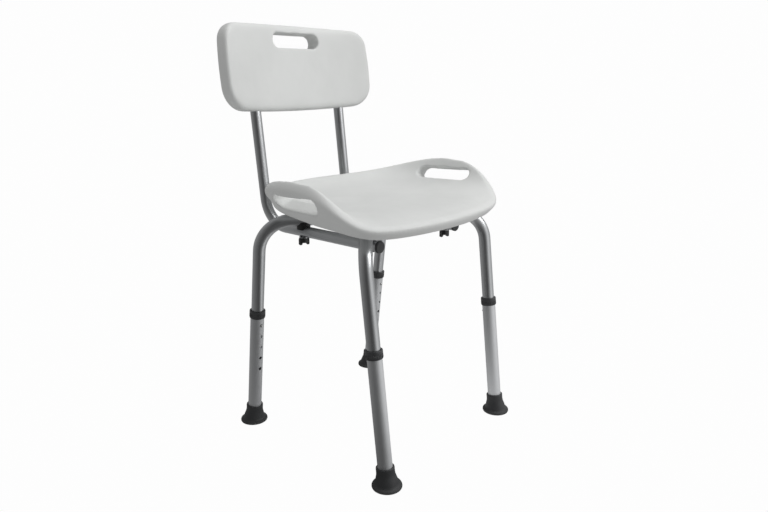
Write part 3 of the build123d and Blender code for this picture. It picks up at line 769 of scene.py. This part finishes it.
def press_flat(mesh, heading, rise):
    """Squeezes the tube where it passes the middle of the chair and lifts it by rise."""
    centre = Vector((0, CHAIR_MIDDLE.y, RAIL_HEIGHT)) * MM
    heading = Vector((heading.x, heading.y, 0)).normalized()
    sideways = Vector((-heading.y, heading.x, 0))
    for vertex in mesh.vertices:
        offset = vertex.co - centre
        if abs(offset.z) > PRESS_ZONE:
            continue
        away = (abs(offset.dot(heading)) / MM - FLAT_END) / FLAT_RUN
        away = min(max(away, 0), 1)
        press = 1 - away * away * (3 - 2 * away)
        taller = press * (FLAT_TALL / FRAME_TUBE_R / 2 - 1)
        wider = press * (FLAT_WIDE / FRAME_TUBE_R / 2 - 1)
        vertex.co += Vector((0, 0, offset.z * taller + rise * press * MM))
        vertex.co += sideways * offset.dot(sideways) * wider


def crossing_tube(name, start, finish, rise):
    top = RAIL_HEIGHT / leg_up(start).z
    points = [leg_point(start, FRAME_END), leg_point(start, top), leg_point(finish, top)]
    points.append(leg_point(finish, FRAME_END))
    sizes = {"Radius": FRAME_TUBE_R * MM, "Bend": FRAME_BEND * MM, "Spacing": TUBE_SPACING}
    mesh = sweep.run(name, points, [(0, 1), (1, 2), (2, 3)], swept_aluminium, **sizes)
    press_flat(mesh, points[2] - points[1], rise)
    tube = link_piece(f"{name}_skin", mesh, swept_aluminium)
    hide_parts(name)
    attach(tube, "frame")
    print(name, "has", len(mesh.polygons), "faces")


crossing_tube("crossing_tube_upper", "rear_left", "front_right", FLAT_TALL / 2)
crossing_tube("crossing_tube_lower", "front_left", "rear_right", -FLAT_TALL / 2)

# %% [markdown]
# The back supports run under the seat from front to back, turn up and carry the backrest. The same
# tree makes them, with a thinner circle.

# %% The two back supports
ARM_R = 11.1
ARM_BEND = 61.0
ARM_HEIGHT = 433.2
ARM_FRONT = CHAIR_MIDDLE.y - 114.0
UPRIGHT_TOP = 345.0
ARM_OUT = {}
for side in ("left", "right"):
    low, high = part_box(f"back_support_{side}")
    ARM_OUT[side] = (low.x + high.x) / 2 / MM
    across = Vector((ARM_OUT[side], 0, 0))
    points = [Vector((ARM_OUT[side], ARM_FRONT, ARM_HEIGHT)), UPRIGHT_FOOT + across]
    points.append(UPRIGHT_FOOT + across + BACK_UP * UPRIGHT_TOP)
    sizes = {"Radius": ARM_R * MM, "Bend": ARM_BEND * MM, "Spacing": TUBE_SPACING}
    mesh = sweep.run(f"back_support_{side}", points, [(0, 1), (1, 2)], swept_aluminium, **sizes)
    support = link_piece(f"back_support_{side}_skin", mesh, swept_aluminium)
    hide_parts(f"back_support_{side}")
    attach(support, "frame")
    print("back support", side, "at", round(ARM_OUT[side], 1), "mm")

# %% [markdown]
# Each leg ends in a rubber foot: a neck that grips the tube and a wide skirt that stands flat. The
# neck leans with the leg but the skirt does not, so the rings tilt little by little on the way up.
# Underneath are three shallow tread grooves, and the same rings run on inside to close the cup.

# %% The rubber feet
TREAD_DEEP = 1.2
GROOVES = (13.0, 19.0, 24.5)
TILT_FROM, TILT_DONE = 4, 22.0
CUP_FLOOR = 13.6  # where the tube's washer stands
GROOVE_TOP, GROOVE_MOUTH = 1, 1.3  # half widths
FOOT_OUTSIDE = ((27.2, 0), (28.3, 0.5), (28.9, 1.8), (28.9, 3.7), (28.3, 5.0), (26.8, 5.8), (24.6, 6.5))
FOOT_OUTSIDE += ((23.2, 8), (22.2, 11), (20.8, 16), (19.4, 20.6), (18.3, 24.5), (17.8, 28), (17.7, 33))
FOOT_OUTSIDE += ((17.8, 37.6), (17.6, 39.2), (16.9, 40), (15.2, 40), (14.5, 39.4))
FOOT_INSIDE = ((14.4, 37.5), (14.4, 24), (14.4, 14.2), (13.5, CUP_FLOOR), (7, CUP_FLOOR))
ROUND = [2 * pi * n / 64 for n in range(64)]


def foot_section():
    section = [(6, 0)]
    for groove in GROOVES:
        section += [(groove - GROOVE_MOUTH, 0), (groove - GROOVE_TOP, TREAD_DEEP)]
        section += [(groove + GROOVE_TOP, TREAD_DEEP), (groove + GROOVE_MOUTH, 0)]
    return section + list(FOOT_OUTSIDE) + list(FOOT_INSIDE)


def leaning_ring(corner, radius, reach):
    share = min(max((reach - TILT_FROM) / (TILT_DONE - TILT_FROM), 0), 1)
    share = share * share * (3 - 2 * share)
    up = Vector((0, 0, 1)).lerp(leg_up(corner), share).normalized()
    centre = foot_centre(corner) + Vector((0, leg_up(corner).y * reach * share, reach))
    fore = Vector((1, 0, 0)).cross(up)
    return [centre + (Vector((1, 0, 0)) * cos(t) - fore * sin(t)) * radius for t in ROUND]


for corner in CORNERS:
    rings = [leaning_ring(corner, radius, reach) for radius, reach in foot_section()]
    rings = [[foot_centre(corner)], *rings, [leg_point(corner, CUP_FLOOR)]]
    foot = link_piece(f"foot_{corner}", ring_mesh(f"foot_{corner}", rings), rubber)
    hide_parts(f"rubber_foot_{corner}")
    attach(foot, f"leg_{corner}")
print("foot section has", len(foot_section()), "points")

# %% [markdown]
# A plastic collar caps each leg extension and takes up the play between the two tubes. It is a
# turned shape, so it is a section spun round the leg, with a lip on top. The shallow grip ribs
# round it repeat, so a second node tree sets one small bar on each point of a circle.

# %% The collars
ribs = Tree("ring_of_ribs", Count="Int", Radius="Float", Tall="Float", Thick="Float", Material="Material")
edges = {"X": ribs.given["Thick"], "Y": ribs.given["Thick"], "Z": ribs.given["Tall"]}
size = ribs.add("ShaderNodeCombineXYZ", inputs=edges)
bar = ribs.add("GeometryNodeMeshCube", inputs={"Size": size})
spots = {"Vertices": ribs.given["Count"], "Radius": ribs.given["Radius"]}
spots = ribs.add("GeometryNodeMeshCircle", inputs=spots)
facing = ribs.add("GeometryNodeInputNormal")
turned = ribs.add("FunctionNodeAlignRotationToVector", {"axis": "X"}, {"Vector": facing})
placed = {"Points": spots, "Instance": bar, "Rotation": turned}
ribs.end(ribs.add("GeometryNodeInstanceOnPoints", inputs=placed))

COLLAR_LOW = 250.9
COLLAR_SECTION = ((14.4, 0.3), (15.3, 0), (15.9, 0.4), (16.1, 1.4), (16.1, 5), (16.1, 9.8), (16.2, 10.6))
COLLAR_SECTION += ((16.5, 11.1), (16.5, 12), (16.5, 14.9), (16.3, 15.9), (15.6, 16.5), (13.9, 16.5))
COLLAR_SECTION += ((13.2, 16.2), (12.95, 15.6), (12.95, 14), (14.4, 13.5), (14.4, 7))
RIB_COUNT = 28
RIB_RADIUS, RIB_TALL, RIB_THICK, RIB_MIDDLE = 16.0, 7.4, 1.1, 5.8


def leg_frame(corner, reach):
    up = leg_up(corner)
    fore = Vector((1, 0, 0)).cross(up)
    turn = Matrix((Vector((1, 0, 0)), fore * -1, up)).transposed().to_4x4()
    return Matrix.Translation(leg_point(corner, reach) * MM) @ turn


def spun(name, section, hollow):
    rings = [[(r * cos(t), r * sin(t), z) for t in ROUND] if r else [(0, 0, z)] for r, z in section]
    return ring_mesh(name, rings, hollow)


for corner in CORNERS:
    collar_mesh = spun(f"collar_{corner}", COLLAR_SECTION, True)
    sizes = {"Radius": RIB_RADIUS * MM, "Tall": RIB_TALL * MM, "Thick": RIB_THICK * MM}
    rib_mesh = ribs.run("ribs", [(0, 0, 0)], [], dark_grey, Count=RIB_COUNT, **sizes)
    rib_mesh.transform(Matrix.Translation((0, 0, RIB_MIDDLE * MM)))
    joined = bmesh.new()
    joined.from_mesh(collar_mesh)
    joined.from_mesh(rib_mesh)
    joined.to_mesh(collar_mesh)
    joined.free()
    collar_mesh.transform(leg_frame(corner, COLLAR_LOW))
    collar = link_piece(f"collar_{corner}", collar_mesh, dark_grey)
    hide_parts(f"leg_collar_{corner}")
    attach(collar, f"leg_{corner}")
print("collars with", RIB_COUNT, "ribs each")

# %% [markdown]
# Four wing knobs clamp the frame to the seat. A wing knob is a hub with two flat wings, moulded in
# one: the parts are drawn apart, and one fine skin over both melts them together with soft corners.

# %% The wing knobs
KNOB_TOP = 420.5
HUB = ((0, -10.9), (6.4, -10.9), (7.6, -10.2), (8, -9), (8, -3), (8.1, -1.4), (7.9, -0.4), (7.2, 0), (0, 0))
WING_OUTLINE = ((0, -1), (9.4, -1), (10.6, -1.8), (11, -3.4), (11, -13.6), (10.4, -15), (9.2, -15.5))
WING_OUTLINE += ((6.6, -15.5), (5.4, -14.8), (3.2, -11), (0, -10.6))
WING_HALF = 2.8
WING_TURNS = {1: radians(35), -1: radians(-20)}


def wing_mesh(side):
    shape = bmesh.new()
    faces = []
    for y in (-WING_HALF, WING_HALF):
        faces.append([shape.verts.new(Vector((side * x, y, z)) * MM) for x, z in WING_OUTLINE])
    shape.faces.new(faces[0])
    shape.faces.new(faces[1])
    for n in range(len(WING_OUTLINE)):
        after = (n + 1) % len(WING_OUTLINE)
        shape.faces.new((faces[0][n], faces[0][after], faces[1][after], faces[1][n]))
    bmesh.ops.recalc_face_normals(shape, faces=shape.faces)
    mesh = bpy.data.meshes.new("wing")
    shape.to_mesh(mesh)
    shape.free()
    return mesh


for corner, (sx, sy) in CORNERS.items():
    shape = bmesh.new()
    for mesh in (spun("hub", HUB, False), wing_mesh(1), wing_mesh(-1)):
        shape.from_mesh(mesh)
    knob_mesh = bpy.data.meshes.new(f"knob_{corner}")
    shape.to_mesh(knob_mesh)
    shape.free()
    knob = link_piece(f"knob_{corner}", knob_mesh, black)
    finish_solid(knob, [], 0.5, 3)
    axis_at = Vector(joints[f"knob_turn_{corner}"]["pos_m"])
    axis_at.z = KNOB_TOP * MM
    turn = Matrix.Rotation(WING_TURNS[sx * sy], 4, "Z")
    knob.data.transform(Matrix.Translation(axis_at) @ turn)
    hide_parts(f"wing_knob_{corner}")
    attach(knob, f"knob_{corner}")

# %% [markdown]
# Four pan-head screws hold the backrest on its tubes, two on each side. One head is drawn with its
# cross recess, and a node tree puts a copy on each point.

# %% The backrest screws
SCREWS_AT = (259.0, 317.0)
HEAD = ((0, -1.2), (4.2, -1.2), (4.4, -0.6), (4.3, 0.3), (3.6, 1.2), (2.3, 1.75), (0, 1.95))
CROSS_LONG, CROSS_WIDE, CROSS_TALL, CROSS_AT = 4.6, 1.0, 2.8, 2.1
HEAD_PROUD = 0.3  # the heads stand this far off the backrest

head = link_piece("screw_head", spun("screw_head", HEAD, False), zinc)
cutters = []
for turn in (0, pi / 2):
    arm = bmesh.new()
    bmesh.ops.create_cube(arm, size=1)
    mesh = bpy.data.meshes.new("cross")
    arm.to_mesh(mesh)
    arm.free()
    stretch = Matrix.Diagonal((CROSS_LONG * MM, CROSS_WIDE * MM, CROSS_TALL * MM, 1))
    lifted = Matrix.Translation((0, 0, CROSS_AT * MM))
    mesh.transform(Matrix.Rotation(turn, 4, "Z") @ lifted @ stretch)
    cutters.append(link_piece("recess", mesh, zinc))
    cut = head.modifiers.new("recess", "BOOLEAN")
    cut.operation, cut.solver, cut.object = "DIFFERENCE", "EXACT", cutters[-1]
head.data = bake(head, "screw_head")
head.modifiers.clear()
for cutter in cutters:
    bpy.data.objects.remove(cutter)

screws = Tree("screws_on_points", Head="Object", Turn="Rotation", Material="Material")
copy = screws.add("GeometryNodeObjectInfo", inputs={"Object": screws.given["Head"]}, output="Geometry")
placed = {"Points": screws.given["Geometry"], "Instance": copy, "Rotation": screws.given["Turn"]}
screws.end(screws.add("GeometryNodeInstanceOnPoints", inputs=placed))

points = []
for side in ("left", "right"):
    for reach in SCREWS_AT:
        points.append(back_point(ARM_OUT[side], reach - BACK_CENTRE, BACK_THICK + HEAD_PROUD))
facing_back = BACK_BEHIND.to_track_quat("Z", "Y").to_euler()
mesh = screws.run("screws", points, [], zinc, Head=head, Turn=facing_back)
bpy.data.objects.remove(head)
screw_piece = link_piece("screws", mesh, zinc)
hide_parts("backrest_screws")
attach(screw_piece, "frame")
print("screw heads:", len(points), "faces:", len(mesh.polygons))

# %% [markdown]
# The rest of the model is already the right shape: the leg extensions with their drilled holes, the
# saddles, the end caps and the hardware. They only need their finishes.

# %% Finishes for the pieces that stay
STAYS = {
    "leg_extension": leg_aluminium,
    "saddle": black,
    "tube_end_cap": dark_grey,
    "snap_button": stainless,
    "spring_clip": spring_steel,
    "foot_washer": zinc,
    "knob_stud": zinc,
    "knob_washers": zinc,
    "crossing_bolt": zinc,
    "crossing_nut": zinc,
    "crossing_washers": zinc,
    "seat_inserts": brass,
}
dressed = 0
for name, node in frame["nodes"].items():
    for start, finish in STAYS.items():
        if name.startswith(start):
            node.data.materials.clear()
            node.data.materials.append(finish.owner)
            dressed += 1
print("finishes given to", dressed, "of", len(frame["nodes"]), "pieces of the model")
